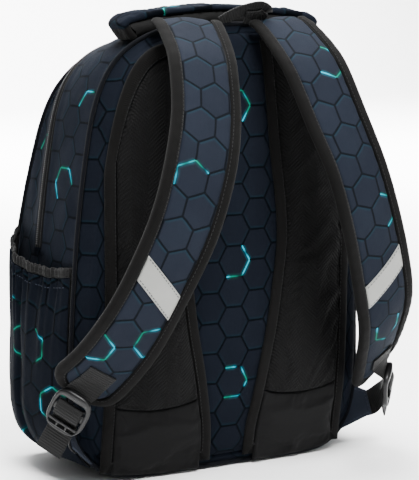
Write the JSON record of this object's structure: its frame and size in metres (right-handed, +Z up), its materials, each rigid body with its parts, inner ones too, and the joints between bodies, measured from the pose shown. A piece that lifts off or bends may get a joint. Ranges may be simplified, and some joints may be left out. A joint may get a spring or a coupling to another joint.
{
  "type": "school backpack",
  "caption": "Upright padded school backpack with honeycomb cloth, curved padded shoulder straps, mesh back pads, elastic side pockets, a long top zip and a grab handle.",
  "frame": {"origin": "middle of the flat base, on the surface that the bag stands on", "axes": "+Z up, -Y towards the wearer's back (the side with the shoulder straps), +X to the right when that side is looked at"},
  "size_m": [0.3846, 0.2667, 0.434],
  "materials": {
    "printed_cloth": "navy polyester printed with a darker honeycomb and a few lit teal cell edges",
    "tab_cloth": "plain dark navy polyester",
    "twill_tape": "black herringbone binding tape",
    "air_mesh": "black open-knit spacer mesh",
    "smooth_cloth": "plain close-woven black polyester",
    "elastic": "black ribbed elastic",
    "zip_tape": "black zip tape with a nylon coil",
    "webbing": "black ribbed polypropylene webbing",
    "reflective_tape": "grey retroreflective tape with a glass-bead face",
    "lock_plastic": "dark grey satin moulded plastic",
    "slider_metal": "black lacquered zip slider"
  },
  "bodies": {
    "root": {"bag_body": "printed_cloth", "back_panel": "printed_cloth", "panel_piping": "twill_tape", "front_piping": "twill_tape", "main_zip": "zip_tape", "zip_slider": "slider_metal", "mesh_pad_left": "air_mesh", "mesh_pad_right": "air_mesh", "lower_pad_left": "smooth_cloth", "lower_pad_right": "smooth_cloth", "pad_binding_left": "twill_tape", "pad_binding_right": "twill_tape", "side_pocket_left": "printed_cloth", "side_pocket_right": "printed_cloth", "pocket_elastic_left": "elastic", "pocket_elastic_right": "elastic", "shoulder_strap_left": "printed_cloth", "shoulder_strap_right": "printed_cloth", "strap_binding_left": "twill_tape", "strap_binding_right": "twill_tape", "reflector_left": "reflective_tape", "reflector_right": "reflective_tape", "webbing_patch_left": "webbing", "webbing_patch_right": "webbing", "ladder_lock_left": "lock_plastic", "ladder_lock_right": "lock_plastic", "anchor_tab_left": "tab_cloth", "anchor_tab_right": "tab_cloth", "adjuster_webbing_left": "webbing", "adjuster_webbing_right": "webbing", "handle": "printed_cloth", "handle_lining": "twill_tape", "hang_loop": "webbing"}
  },
  "joints": []
}
